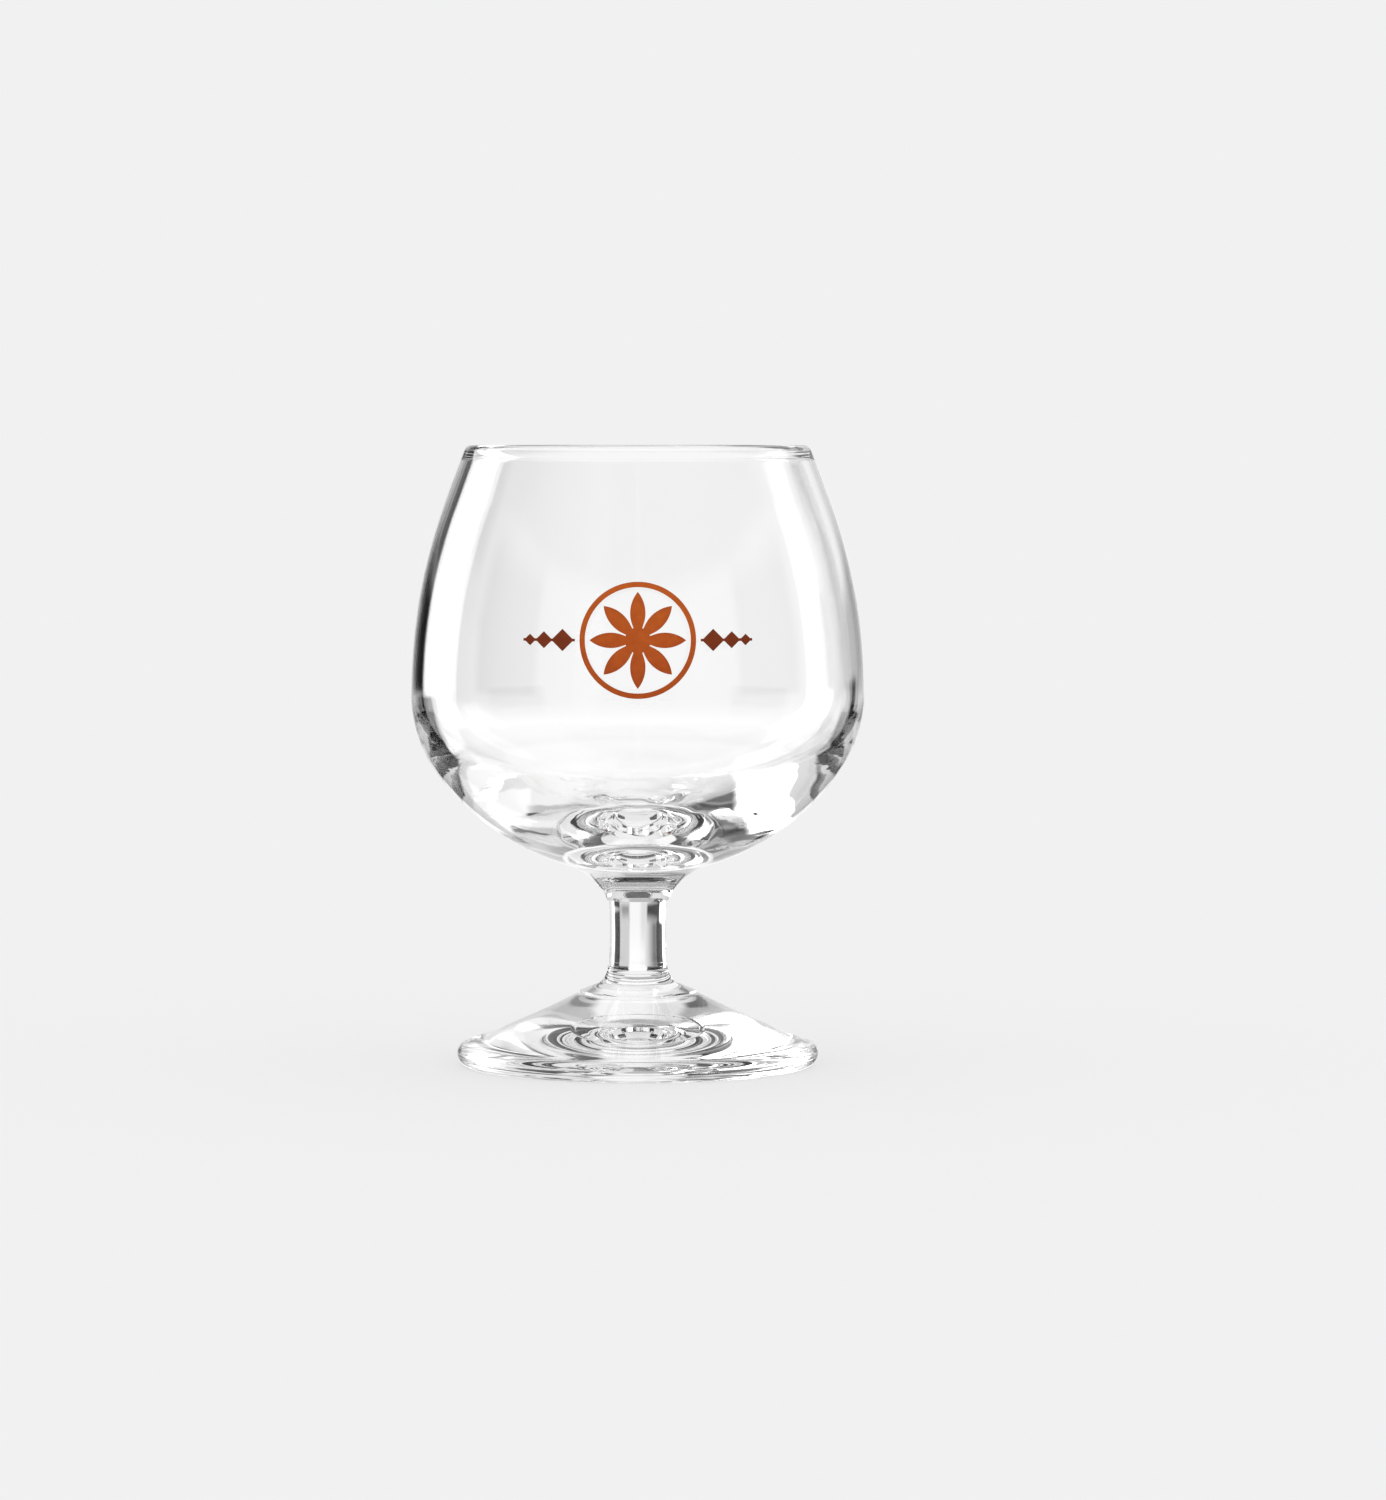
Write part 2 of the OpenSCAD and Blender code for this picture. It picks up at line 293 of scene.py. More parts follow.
def bowl_outline():
    lean = Vector((LEAN_RISE, LEAN_IN)).normalized()
    up_wall = Vector((-lean[1], lean[0]))
    centre = Vector((SHOULDER_X, BELLY_Z))
    rim_r = WALL_T / 2 + RIM_SWELL
    middle_r = SHOULDER_R - WALL_T / 2
    straight = (GLASS_H - rim_r - BELLY_Z - middle_r * lean[1]) / lean[0]
    rim = centre + middle_r * lean + straight * up_wall
    outer_top = centre + SHOULDER_R * lean
    inner_top = centre + (SHOULDER_R - WALL_T) * lean
    swell_rise = math.sqrt(rim_r**2 - (WALL_T / 2) ** 2) * up_wall
    rim_outer = rim + WALL_T / 2 * lean - swell_rise
    rim_inner = rim - WALL_T / 2 * lean - swell_rise
    rim_top = rim + rim_r * up_wall
    cheek_low = (
        CHEEK_X + CHEEK_R * CHEEK_X / (BOTTOM_R - CHEEK_R),
        BELLY_Z - CHEEK_R * BOTTOM_RISE / (BOTTOM_R - CHEEK_R),
    )
    corner_low = (
        CORNER_X + CORNER_R * CORNER_X / FLOOR_REACH,
        BELLY_Z - CORNER_R * (FLOOR_REACH - FLOOR_CROWN) / FLOOR_REACH,
    )
    return outline(
        (line((0, BOWL_LOW_Z), (JOINT_R, BOWL_LOW_Z)), True),
        (arc((0, BOTTOM_Z), (JOINT_R, BOWL_LOW_Z), cheek_low), False),
        (arc((CHEEK_X, BELLY_Z), cheek_low, (BELLY_R, BELLY_Z)), False),
        (arc(tuple(centre), (BELLY_R, BELLY_Z), tuple(outer_top)), False),
        (line(tuple(outer_top), tuple(rim_outer)), False),
        (arc(tuple(rim), tuple(rim_outer), tuple(rim_top)), False),
        (arc(tuple(rim), tuple(rim_top), tuple(rim_inner)), False),
        (line(tuple(rim_inner), tuple(inner_top)), False),
        (arc(tuple(centre), tuple(inner_top), (BELLY_R - WALL_T, BELLY_Z)), False),
        (arc((CORNER_X, BELLY_Z), (BELLY_R - WALL_T, BELLY_Z), corner_low), False),
        (arc((0, FLOOR_Z + FLOOR_R), corner_low, (0, FLOOR_Z)), False),
    )


def bowl_collar_outline():
    low_r = STEM_R + NECK_LIP
    top_r = low_r + NECK_SPREAD
    ledge = Vector((top_r + NECK_LEDGE, NECK_TOP_Z))
    joint = Vector((JOINT_R, BOWL_LOW_Z))
    run = joint - ledge
    offset = math.sqrt(BOWL_FLARE_R**2 - (run.length / 2) ** 2) / run.length
    flare = ledge + run / 2 + offset * Vector((run[1], -run[0]))
    return outline(
        (line((0, STEM_TOP_Z), (STEM_R, STEM_TOP_Z)), True),
        (line((STEM_R, STEM_TOP_Z), (low_r, STEM_TOP_Z)), False),
        (line((low_r, STEM_TOP_Z), (top_r, NECK_TOP_Z)), False),
        (line((top_r, NECK_TOP_Z), tuple(ledge)), False),
        (arc(tuple(flare), tuple(ledge), tuple(joint)), False),
        (line(tuple(joint), (0, BOWL_LOW_Z)), True),
    )


def stem_outline():
    half = STEM_H / 2 - STEM_LAND
    waist_r = (half**2 + WAIST**2) / (2 * WAIST)
    middle = STEM_LOW_Z + STEM_H / 2
    low_land, top_land = (STEM_R, middle - half), (STEM_R, middle + half)
    return outline(
        (line((0, STEM_LOW_Z), (STEM_R, STEM_LOW_Z)), True),
        (line((STEM_R, STEM_LOW_Z), low_land), False),
        (arc((STEM_R - WAIST + waist_r, middle), low_land, top_land), False),
        (line(top_land, (STEM_R, STEM_TOP_Z)), False),
        (line((STEM_R, STEM_TOP_Z), (0, STEM_TOP_Z)), True),
    )


def foot_collar_outline():
    lip_r = STEM_R + FOOT_LIP
    flare = Vector((lip_r + FOOT_FLARE_R, STEM_LOW_Z))
    edge = Vector((RING_R, FOOT_H + RING_EDGE))
    slope = math.radians(SHOULDER_SLOPE)
    along = Vector((-math.cos(slope), math.sin(slope)))
    # where the shoulder, followed inwards from the ring's edge, runs into the hollow curve
    to_edge = edge - flare
    half_b = to_edge.dot(along)
    reach = -half_b + math.sqrt(half_b**2 - to_edge.length_squared + FOOT_FLARE_R**2)
    meet = edge + reach * along
    return outline(
        (line((0, FOOT_H), (RING_R, FOOT_H)), True),
        (line((RING_R, FOOT_H), tuple(edge)), False),
        (line(tuple(edge), tuple(meet)), False),
        (arc(tuple(flare), tuple(meet), (lip_r, STEM_LOW_Z)), False),
        (line((lip_r, STEM_LOW_Z), (STEM_R, STEM_LOW_Z)), False),
        (line((STEM_R, STEM_LOW_Z), (0, STEM_LOW_Z)), True),
    )


def foot_outline():
    edge = Vector((FOOT_R - EDGE_R, EDGE_R - EDGE_FLAT))
    slope = math.radians(EDGE_SLOPE)
    aim = edge + (EDGE_R - EDGE_FLAT) * Vector((math.sin(slope), math.cos(slope)))
    top = Vector((RING_R, FOOT_H))
    run = aim - top
    offset = math.sqrt(SWEEP_R**2 - (run.length / 2) ** 2) / run.length
    sweep = top + run / 2 + offset * Vector((-run[1], run[0]))
    # where the hollow sweep runs into the round edge, on its outer side
    gap = edge - sweep
    along = (SWEEP_R**2 - EDGE_R**2 + gap.length_squared) / (2 * gap.length)
    middle = sweep + along * gap.normalized()
    aside = math.sqrt(SWEEP_R**2 - along**2) * Vector((-gap[1], gap[0])).normalized()
    meet = middle + aside
    if meet[0] < edge[0]:
        meet = middle - aside
    flat_r = edge[0] + math.sqrt(EDGE_R**2 - edge[1] ** 2)
    kick = (KICK_R**2 + KICK_H**2) / (2 * KICK_H)
    side = (FOOT_R, edge[1])
    return outline(
        (arc((0, KICK_H - kick), (0, KICK_H), (KICK_R, 0)), False),
        (line((KICK_R, 0), (flat_r, 0)), False),
        (arc(tuple(edge), (flat_r, 0), side), False),
        (arc(tuple(edge), side, tuple(meet)), False),
        (arc(tuple(sweep), tuple(meet), tuple(top)), False),
        (line(tuple(top), (0, FOOT_H)), True),
    )


# Geometry trees

def sampled(tree, points, kind, value, index):
    """What one point of an outline holds."""
    ins = {"Geometry": points, "Value": value, "Index": index}
    made = add(tree, "GeometryNodeSampleIndex", ins, data_type=kind, domain="POINT")
    return made.outputs[0]


def marked(tree, mesh, name, kind, domain, value):
    """The mesh with a named mark on its points or faces."""
    ins = {"Geometry": mesh, "Name": name, "Value": value}
    made = add(tree, "GeometryNodeStoreNamedAttribute", ins, data_type=kind, domain=domain)
    return made.outputs[0]


def mark(tree, name):
    """A mark that is set or not, read back by its name."""
    made = add(tree, "GeometryNodeInputNamedAttribute", {"Name": name}, data_type="BOOLEAN")
    return made.outputs["Attribute"]


def moved(tree, mesh, place):
    ins = {"Geometry": mesh, "Position": place}
    return add(tree, "GeometryNodeSetPosition", ins).outputs[0]


def welded(tree, mesh, distance):
    ins = {"Geometry": mesh, "Distance": distance}
    return add(tree, "GeometryNodeMergeByDistance", ins).outputs[0]


def shaded(tree, mesh, fold):
    """Smooth shading that keeps a crisp edge at folds sharper than this."""
    ins = {"Geometry": mesh, "Shade Smooth": True}
    smooth = add(tree, "GeometryNodeSetShadeSmooth", ins, domain="FACE").outputs[0]
    bend = add(tree, "GeometryNodeInputMeshEdgeAngle").outputs["Unsigned Angle"]
    soft = add(tree, "FunctionNodeCompare", {0: bend, 1: fold}, operation="LESS_THAN").outputs[0]
    ins = {"Geometry": smooth, "Shade Smooth": soft}
    return add(tree, "GeometryNodeSetShadeSmooth", ins, domain="EDGE").outputs[0]


def finished(tree, mesh, surface):
    """The mesh as plain geometry with its material."""
    real = add(tree, "GeometryNodeRealizeInstances", {"Geometry": mesh}).outputs[0]
    ins = {"Geometry": real, "Material": surface}
    return add(tree, "GeometryNodeSetMaterial", ins).outputs[0]


def turning_tree():
    """Turns an outline round the axis into one closed solid."""
    tree, given = geometry_tree(
        "Turned glass",
        {
            "Outline": "Object",
            "Facets": "Int",
            "Weld": "Float",
            "Fold": "Float",
            "Glass": "Material",
            "Joint": "Material",
        },
    )
    calc = functools.partial(maths, tree)
    guide = {"Object": given["Outline"]}
    points = add(tree, "GeometryNodeObjectInfo", guide, transform_space="ORIGINAL")
    points = points.outputs["Geometry"]
    size = add(tree, "GeometryNodeAttributeDomainSize", {"Geometry": points}, component="MESH")
    around = calc("ADD", given["Facets"], 1)
    counts = {"Vertices X": size.outputs["Point Count"], "Vertices Y": around}
    grid = add(tree, "GeometryNodeMeshGrid", counts).outputs["Mesh"]
    index = add(tree, "GeometryNodeInputIndex").outputs[0]
    ring = calc("FLOOR", calc("DIVIDE", index, around))
    step = calc("FLOORED_MODULO", index, around)
    angle = calc("MULTIPLY", calc("DIVIDE", step, given["Facets"]), math.tau)
    place = add(tree, "GeometryNodeInputPosition").outputs[0]
    at = sampled(tree, points, "FLOAT_VECTOR", place, ring)
    parts = add(tree, "ShaderNodeSeparateXYZ", {0: at}).outputs
    x = calc("MULTIPLY", parts["X"], calc("COSINE", angle))
    y = calc("MULTIPLY", parts["X"], calc("SINE", angle))
    round_axis = add(tree, "ShaderNodeCombineXYZ", {"X": x, "Y": y, "Z": parts["Z"]}).outputs[0]
    shell = moved(tree, grid, round_axis)
    band = calc("FLOOR", calc("DIVIDE", index, given["Facets"]))
    fused = sampled(tree, points, "BOOLEAN", mark(tree, "fused"), band)
    shell = marked(tree, shell, "joint_face", "BOOLEAN", "FACE", fused)
    closed = welded(tree, shell, given["Weld"])
    outwards = add(tree, "GeometryNodeFlipFaces", {"Mesh": closed}).outputs[0]
    glazed = finished(tree, shaded(tree, outwards, given["Fold"]), given["Glass"])
    joint = {"Geometry": glazed, "Selection": mark(tree, "joint_face"), "Material": given["Joint"]}
    done = add(tree, "GeometryNodeSetMaterial", joint).outputs[0]
    add(tree, "NodeGroupOutput", {"Geometry": done})
    return tree


def turned(tree, name, shape, glass, joint):
    """A turned piece of glass from its outline."""
    points, fused = shape
    mesh = bpy.data.meshes.new(name + "_outline")
    mesh.from_pydata([(r * MM, 0, z * MM) for r, z in points], [], [])
    mesh.attributes.new("fused", "BOOLEAN", "POINT").data.foreach_set("value", fused)
    guide = bpy.data.objects.new(name + "_outline", mesh)
    bpy.context.scene.collection.objects.link(guide)
    piece = made_by(
        tree,
        name,
        Outline=guide,
        Facets=FACETS,
        Weld=WELD * MM,
        Fold=math.radians(GLASS_FOLD),
        Glass=glass,
        Joint=joint,
    )
    bpy.data.objects.remove(guide)
    bpy.data.meshes.remove(mesh)
    return piece


def grid_steps(tree, across, along):
    """A grid for a flat drawing, and how far each point lies across and along it, from 0 to 1."""
    calc = functools.partial(maths, tree)
    count = calc("ADD", along, 1)
    counts = {"Vertices X": calc("ADD", across, 1), "Vertices Y": count}
    grid = add(tree, "GeometryNodeMeshGrid", counts).outputs["Mesh"]
    index = add(tree, "GeometryNodeInputIndex").outputs[0]
    u = calc("DIVIDE", calc("FLOOR", calc("DIVIDE", index, count)), across)
    v = calc("DIVIDE", calc("FLOORED_MODULO", index, count), along)
    return grid, u, v


def drawn(tree, grid, x, z, edge):
    """The grid laid out flat, with a mark of how near each point is to the edge of its stroke."""
    flat = add(tree, "ShaderNodeCombineXYZ", {"X": x, "Z": z}).outputs[0]
    return marked(tree, moved(tree, grid, flat), "stroke_edge", "FLOAT", "POINT", edge)


def film_tree():
    """Lays a flat drawing on the bowl's side as a closed film, pushed straight back."""
    tree, given = geometry_tree(
        "Film of ink",
        {
            "Drawing": "Geometry",
            "Centre height": "Float",
            "Ink": "Float",
            "Sink": "Float",
            "Weld": "Float",
            "Material": "Material",
        },
    )
    calc = functools.partial(maths, tree)
    closed = welded(tree, given["Drawing"], given["Weld"])
    back = add(tree, "GeometryNodeFlipFaces", {"Mesh": closed}).outputs[0]
    push = {"Mesh": closed, "Offset": (0, -1, 0), "Offset Scale": SLAB_T * MM, "Individual": False}
    front = add(tree, "GeometryNodeExtrudeMesh", push, mode="FACES").outputs["Mesh"]
    both = add(tree, "GeometryNodeJoinGeometry")
    for face in (back, front):
        tree.links.new(face, both.inputs[0])
    slab = welded(tree, both.outputs[0], given["Weld"])
    place = add(tree, "GeometryNodeInputPosition").outputs[0]
    at = add(tree, "ShaderNodeSeparateXYZ", {0: place}).outputs
    is_front = calc("LESS_THAN", at["Y"], -SLAB_T * MM / 2)
    thickness = calc("ADD", given["Ink"], given["Sink"])
    proud = calc("SUBTRACT", calc("MULTIPLY", is_front, thickness), given["Sink"])
    # the bowl's radius at this height, and how far forward that is at this place
    height = calc("ADD", at["Z"], given["Centre height"])
    rise = calc("SUBTRACT", height, BELLY_Z * MM)
    reach = calc("ADD", proud, SHOULDER_R * MM)
    side = calc("SQRT", calc("SUBTRACT", calc("POWER", reach, 2.0), calc("POWER", rise, 2.0)))
    radius = calc("ADD", side, SHOULDER_X * MM)
    squares = calc("SUBTRACT", calc("POWER", radius, 2.0), calc("POWER", at["X"], 2.0))
    forward = calc("MULTIPLY", calc("SQRT", squares), -1.0)
    laid = add(tree, "ShaderNodeCombineXYZ", {"X": at["X"], "Y": forward, "Z": height}).outputs[0]
    film = shaded(tree, moved(tree, slab, laid), math.radians(INK_FOLD))
    add(tree, "NodeGroupOutput", {"Geometry": finished(tree, film, given["Material"])})
    return tree


def ink_tree(name, film, sizes):
    """A tree for one drawing in ink, with the film's own material as its last input."""
    tree, given = geometry_tree(name, {**sizes, "Material": "Material"})

    def laid(drawing):
        ins = {
            "Drawing": drawing,
            "Material": given["Material"],
            "Centre height": ORNAMENT_Z * MM,
            "Ink": INK_T * MM,
            "Sink": INK_SINK * MM,
            "Weld": WELD * MM,
        }
        on_bowl = add(tree, "GeometryNodeGroup", ins, node_tree=film).outputs[0]
        add(tree, "NodeGroupOutput", {"Geometry": on_bowl})
        return tree

    return tree, given, laid


def rosette_tree(film):
    """One wedge of the rosette, a petal and its share of the eye, set round the centre."""
    tree, given, laid = ink_tree(
        "Ink rosette",
        film,
        {
            "Petals": "Int",
            "Tip": "Float",
            "Root": "Float",
            "Width": "Float",
            "Eye": "Float",
            "Steps": "Int",
            "Rings": "Int",
        },
    )
    calc = functools.partial(maths, tree)
    grid, u, v = grid_steps(tree, given["Steps"], given["Rings"])
    turn = calc("DIVIDE", math.tau, given["Petals"])
    angle = calc("MULTIPLY", calc("SUBTRACT", u, 0.5), turn)
    sine, cosine = calc("SINE", angle), calc("COSINE", angle)
    # a petal's side is an arc: how far out a line from the centre at this angle leaves it
    length = calc("SUBTRACT", given["Tip"], given["Root"])
    squares = calc("ADD", calc("POWER", length, 2.0), calc("POWER", given["Width"], 2.0))
    side_r = calc("DIVIDE", squares, calc("MULTIPLY", given["Width"], 4.0))
    aside = calc("SUBTRACT", calc("DIVIDE", given["Width"], 2.0), side_r)
    middle = calc("DIVIDE", calc("ADD", given["Tip"], given["Root"]), 2.0)
    sideways = calc("MULTIPLY", aside, calc("ABSOLUTE", sine))
    along = calc("ADD", sideways, calc("MULTIPLY", middle, cosine))
    away = calc("ADD", calc("POWER", aside, 2.0), calc("POWER", middle, 2.0))
    under = calc("SUBTRACT", calc("POWER", along, 2.0), away)
    under = calc("ADD", under, calc("POWER", side_r, 2.0))
    leaves = calc("ADD", along, calc("SQRT", calc("MAXIMUM", under, 0.0)))
    petal = calc("MULTIPLY", leaves, calc("GREATER_THAN", under, 0.0))
    radius = calc("MULTIPLY", v, calc("MAXIMUM", petal, given["Eye"]))
    x, z = calc("MULTIPLY", radius, sine), calc("MULTIPLY", radius, cosine)
    wedge = drawn(tree, grid, x, z, v)
    centre = add(tree, "GeometryNodePoints", {"Count": given["Petals"]}).outputs[0]
    spin = calc("MULTIPLY", add(tree, "GeometryNodeInputIndex").outputs[0], turn)
    spin = add(tree, "ShaderNodeCombineXYZ", {"Y": spin}).outputs[0]
    ins = {"Points": centre, "Instance": wedge, "Rotation": spin}
    wedges = add(tree, "GeometryNodeInstanceOnPoints", ins).outputs[0]
    return laid(add(tree, "GeometryNodeRealizeInstances", {"Geometry": wedges}).outputs[0])


def ring_tree(film):
    """A plain ring."""
    sizes = {"Inside": "Float", "Line": "Float", "Steps": "Int", "Rings": "Int"}
    tree, given, laid = ink_tree("Ink ring", film, sizes)
    calc = functools.partial(maths, tree)
    grid, u, v = grid_steps(tree, given["Steps"], given["Rings"])
    angle = calc("MULTIPLY", u, math.tau)
    radius = calc("ADD", given["Inside"], calc("MULTIPLY", v, given["Line"]))
    edge = calc("ABSOLUTE", calc("SUBTRACT", calc("MULTIPLY", v, 2.0), 1.0))
    x = calc("MULTIPLY", radius, calc("SINE", angle))
    z = calc("MULTIPLY", radius, calc("COSINE", angle))
    return laid(drawn(tree, grid, x, z, edge))


def bar_tree(film):
    """A rule with lozenges that shrink away from the ring. Side is 1 right and -1 left."""
    lozenges = range(len(LOZENGE_SHARES))
    sizes = {"Start": "Float", "Length": "Float", "Rule": "Float", "Side": "Float"}
    sizes.update({"Steps": "Int", "Rings": "Int"})
    for i in lozenges:
        sizes.update({f"Lozenge {i}": "Float", f"Place {i}": "Float"})
    tree, given, laid = ink_tree("Ink bar", film, sizes)
    calc = functools.partial(maths, tree)
    grid, u, v = grid_steps(tree, given["Steps"], given["Rings"])
    along = calc("MULTIPLY", u, given["Length"])
    half = calc("DIVIDE", given["Rule"], 2.0)
    for i in lozenges:
        off = calc("ABSOLUTE", calc("SUBTRACT", along, given[f"Place {i}"]))
        lozenge = calc("SUBTRACT", calc("DIVIDE", given[f"Lozenge {i}"], 2.0), off)
        half = calc("MAXIMUM", half, lozenge)
    across = calc("SUBTRACT", calc("MULTIPLY", v, 2.0), 1.0)
    x = calc("MULTIPLY", calc("ADD", given["Start"], along), given["Side"])
    z = calc("MULTIPLY", calc("MULTIPLY", across, half), given["Side"])
    return laid(drawn(tree, grid, x, z, calc("ABSOLUTE", across)))


# Materials

def material(name):
    """An empty material and its tree."""
    made = bpy.data.materials.new(name)
    made.use_nodes = True
    made.node_tree.nodes.clear()
    return made, made.node_tree


def heights(span):
    """A span of heights above the table, from millimetres."""
    return tuple(z * MM for z in span)


def clear_glass():
    """Fire-polished glass: nearly smooth on the blown wall and the foot, wavier in the base."""
    made, tree = material("clear_glass")
    place = add(tree, "ShaderNodeTexCoord").outputs["Object"]
    height = add(tree, "ShaderNodeSeparateXYZ", {0: place}).outputs["Z"]
    swell = noise(tree, place, WAVE_SCALE, WAVE_DETAIL, WAVE_GRAIN)
    wall = ramp(tree, height, heights(WALL_HEIGHTS), (1.0, WALL_CALM), "SMOOTHSTEP")
    foot = ramp(tree, height, heights(FOOT_HEIGHTS), (FOOT_CALM, 1.0), "SMOOTHSTEP")
    waves = maths(tree, "MULTIPLY", swell, maths(tree, "MULTIPLY", wall, foot))
    ins = {"Height": waves, "Strength": 1.0, "Distance": WAVE_T * MM}
    bump = add(tree, "ShaderNodeBump", ins).outputs[0]
    haze = noise(tree, place, HAZE_SCALE, HAZE_DETAIL, HAZE_GRAIN)
    glass = add(
        tree,
        "ShaderNodeBsdfPrincipled",
        {
            "Base Color": WHITE,
            "Roughness": ramp(tree, haze, HAZE_SPAN, HAZE_ROUGHNESS),
            "IOR": GLASS_IOR,
            "Transmission Weight": 1.0,
            "Normal": bump,
        },
    )
    add(tree, "ShaderNodeOutputMaterial", {"Surface": glass.outputs[0]})
    return made


def fused_joint():
    """Where two gathers are melted together, nothing is seen."""
    made, tree = material("fused_joint")
    clear = add(tree, "ShaderNodeBsdfTransparent")
    add(tree, "ShaderNodeOutputMaterial", {"Surface": clear.outputs[0]})
    return made


def fired_ink(name, colour, deep):
    """Fired enamel: deeper towards the foot, with painted shadow at a stroke's edge, mottled, with
    a satin skin.
    """
    made, tree = material(name)
    place = add(tree, "ShaderNodeTexCoord").outputs["Object"]
    height = add(tree, "ShaderNodeSeparateXYZ", {0: place}).outputs["Z"]
    # darker towards the bottom of the print
    low_darkening = ramp(tree, height, heights(LOW_DARKENING_HEIGHTS), LOW_DARKENING)
    mottle = noise(tree, place, MOTTLE_SCALE, MOTTLE_DETAIL, MOTTLE_GRAIN)
    cloud = ramp(tree, mottle, MOTTLE_SPAN, MOTTLE_DEPTH)
    edge = add(tree, "ShaderNodeAttribute", attribute_name="stroke_edge").outputs["Fac"]
    # painted shadow: darker towards each stroke's edge
    rim = ramp(tree, edge, EDGE_SHADE_SPAN, EDGE_SHADE_DEPTH)
    depth = maths(tree, "ADD", maths(tree, "ADD", low_darkening, cloud), rim)
    # sockets 6 and 7 of a Mix node are its colours, and output 2 is their mix
    tones = {0: depth, 6: colour, 7: deep}
    tone = add(tree, "ShaderNodeMix", tones, data_type="RGBA", clamp_factor=True).outputs[2]
    grain = noise(tree, place, GRAIN_SCALE, GRAIN_DETAIL, GRAIN_MIX)
    ins = {"Height": grain, "Strength": GRAIN_STRENGTH, "Distance": GRAIN_T * MM}
    bump = add(tree, "ShaderNodeBump", ins).outputs[0]
    ink = add(
        tree,
        "ShaderNodeBsdfPrincipled",
        {
            "Base Color": tone,
            "Roughness": ramp(tree, mottle, MOTTLE_SPAN, SATIN),
            "IOR": INK_IOR,
            "Specular IOR Level": INK_SHINE,
            "Normal": bump,
        },
    )
    add(tree, "ShaderNodeOutputMaterial", {"Surface": ink.outputs[0]})
    return made


# Studio

def panel(tree, under, azimuth, elevation, sides, ends, brightness, edges):
    """Lays one evenly lit panel of the studio over what is under it. Angles are in degrees."""
    mask = 1.0
    for angle, (low, high), edge in ((azimuth, sides, edges[0]), (elevation, ends, edges[1])):
        off = maths(tree, "ABSOLUTE", maths(tree, "SUBTRACT", angle, (low + high) / 2))
        span = (high - low - edge) / 2, (high - low + edge) / 2
        inside = ramp(tree, off, span, (1.0, 0.0), "SMOOTHSTEP")
        mask = maths(tree, "MULTIPLY", mask, inside)
    return covered(tree, mask, under, brightness)


def studio_world():
    """Even light on what is lit, a pale background, and the panels for what the glass shows."""
    world = bpy.data.worlds.new("studio")
    bpy.context.scene.world = world
    world.use_nodes = True
    tree = world.node_tree
    tree.nodes.clear()
    way = add(tree, "ShaderNodeTexCoord").outputs["Generated"]
    way = add(tree, "ShaderNodeSeparateXYZ", {0: way}).outputs
    azimuth = maths(tree, "DEGREES", maths(tree, "ARCTAN2", way["X"], way["Y"]))
    elevation = maths(tree, "DEGREES", maths(tree, "ARCSINE", way["Z"]))
    tent = SURROUND
    for sides, ends, brightness, edges in PANELS:
        tent = panel(tree, tent, azimuth, elevation, sides, ends, brightness, edges)
    path = add(tree, "ShaderNodeLightPath").outputs
    through = maths(tree, "MAXIMUM", path["Is Glossy Ray"], path["Is Transmission Ray"])
    plain = covered(tree, through, EVEN_LIGHT, tent)
    seen = covered(tree, path["Is Camera Ray"], plain, PALE)
    light = add(tree, "ShaderNodeBackground", {"Color": WHITE, "Strength": seen})
    add(tree, "ShaderNodeOutputWorld", {"Surface": light.outputs[0]})


def table_top():
    """A wide pale table, which keeps a faint shadow. The glass shows the studio in its place."""
    corners = ((-1, -1), (1, -1), (1, 1), (-1, 1))
    mesh = bpy.data.meshes.new("table_top")
    mesh.from_pydata([(x * TABLE_M, y * TABLE_M, 0) for x, y in corners], [], [(0, 1, 2, 3)])
    table = bpy.data.objects.new("table_top", mesh)
    bpy.context.scene.collection.objects.link(table)
    made, tree = material("pale_table")
    pale = (PALE, PALE, PALE, 1)
    lit = add(tree, "ShaderNodeBsdfDiffuse", {"Color": pale}).outputs[0]
    glow = add(tree, "ShaderNodeEmission", {"Color": pale, "Strength": 1.0}).outputs[0]
    seen = add(tree, "ShaderNodeMixShader", {0: TABLE_GLOW, 1: lit, 2: glow}).outputs[0]
    add(tree, "ShaderNodeOutputMaterial", {"Surface": seen})
    mesh.materials.append(made)
    table.visible_transmission = table.visible_glossy = False


def camera():
    """Level with the rim, in front of the ornament."""
    data = bpy.data.cameras.new("camera")
    data.lens, data.sensor_width = LENS, SENSOR
    data.shift_x, data.shift_y = SHIFT_X, SHIFT_Y
    eye = bpy.data.objects.new("camera", data)
    bpy.context.scene.collection.objects.link(eye)
    eye.location = CAMERA_PLACE
    aim = Vector(CAMERA_AIM) - eye.location
    eye.rotation_euler = aim.to_track_quat("-Z", "Y").to_euler()
    bpy.context.scene.camera = eye


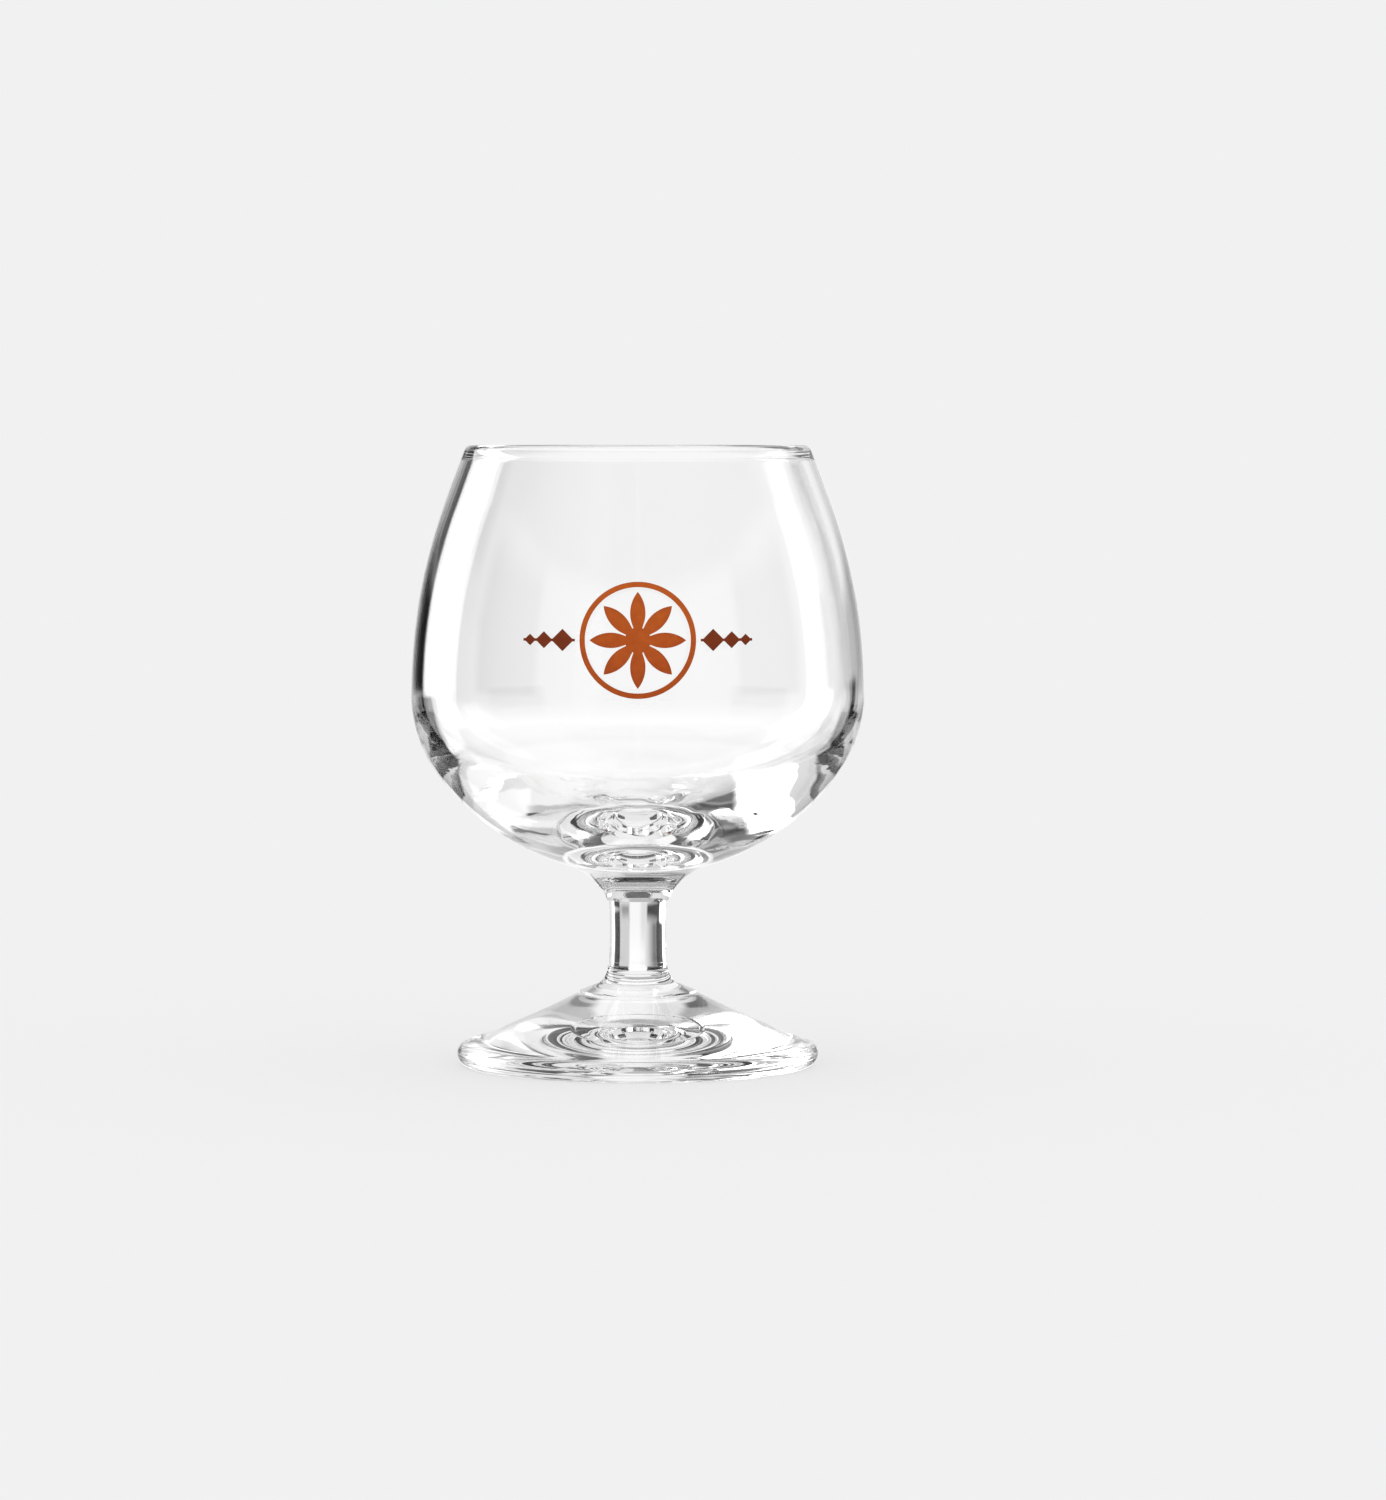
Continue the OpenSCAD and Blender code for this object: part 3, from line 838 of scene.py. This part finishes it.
glass, joint = clear_glass(), fused_joint()
turning = turning_tree()
for node, shape in {
    "bowl": bowl_outline(),
    "bowl_collar": bowl_collar_outline(),
    "stem": stem_outline(),
    "foot_collar": foot_collar_outline(),
    "foot": foot_outline(),
}.items():
    piece = turned(turning, "glass_" + node, shape, glass, joint)
    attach(piece, "root")
    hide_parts(node)

orange = fired_ink("orange_ink", ORANGE, DEEP_ORANGE)
brown = fired_ink("brown_ink", BROWN, DEEP_BROWN)
film = film_tree()
rosette_sizes = {
    "Petals": PETALS,
    "Tip": PETAL_TIP * MM,
    "Root": PETAL_ROOT * MM,
    "Width": PETAL_W * MM,
    "Eye": EYE_R * MM,
    "Material": orange,
    **ROSETTE_GRID,
}
ring_sizes = {
    "Inside": INK_RING_R * MM,
    "Line": LINE_W * MM,
    "Material": orange,
    **INK_RING_GRID,
}
bar_sizes = {
    "Start": BAR_X * MM,
    "Length": BAR_L * MM,
    "Rule": RULE_H * MM,
    "Material": brown,
    **BAR_GRID,
}
for i, (share, place) in enumerate(zip(LOZENGE_SHARES, LOZENGE_PLACE_SHARES)):
    bar_sizes[f"Lozenge_{i}"] = LOZENGE_D * share * MM
    bar_sizes[f"Place_{i}"] = BAR_L * place * MM
bars = bar_tree(film)
for node, slot, piece in (
    ("print_rosette", ORANGE_SLOT, made_by(rosette_tree(film), "ink_rosette", **rosette_sizes)),
    ("print_ring", ORANGE_SLOT, made_by(ring_tree(film), "ink_ring", **ring_sizes)),
    ("print_bar_left", BROWN_SLOT, made_by(bars, "ink_bar_left", Side=-1.0, **bar_sizes)),
    ("print_bar_right", BROWN_SLOT, made_by(bars, "ink_bar_right", Side=1.0, **bar_sizes)),
):
    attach(piece, "root")
    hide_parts(node)

studio_world()
table_top()
camera()

scene = bpy.context.scene
scene.view_settings.view_transform = "Standard"
scene.cycles.max_bounces = GLASS_BOUNCES
scene.cycles.transmission_bounces = GLASS_BOUNCES
scene.cycles.transparent_max_bounces = GLASS_BOUNCES
scene.cycles.glossy_bounces = GLOSSY_BOUNCES
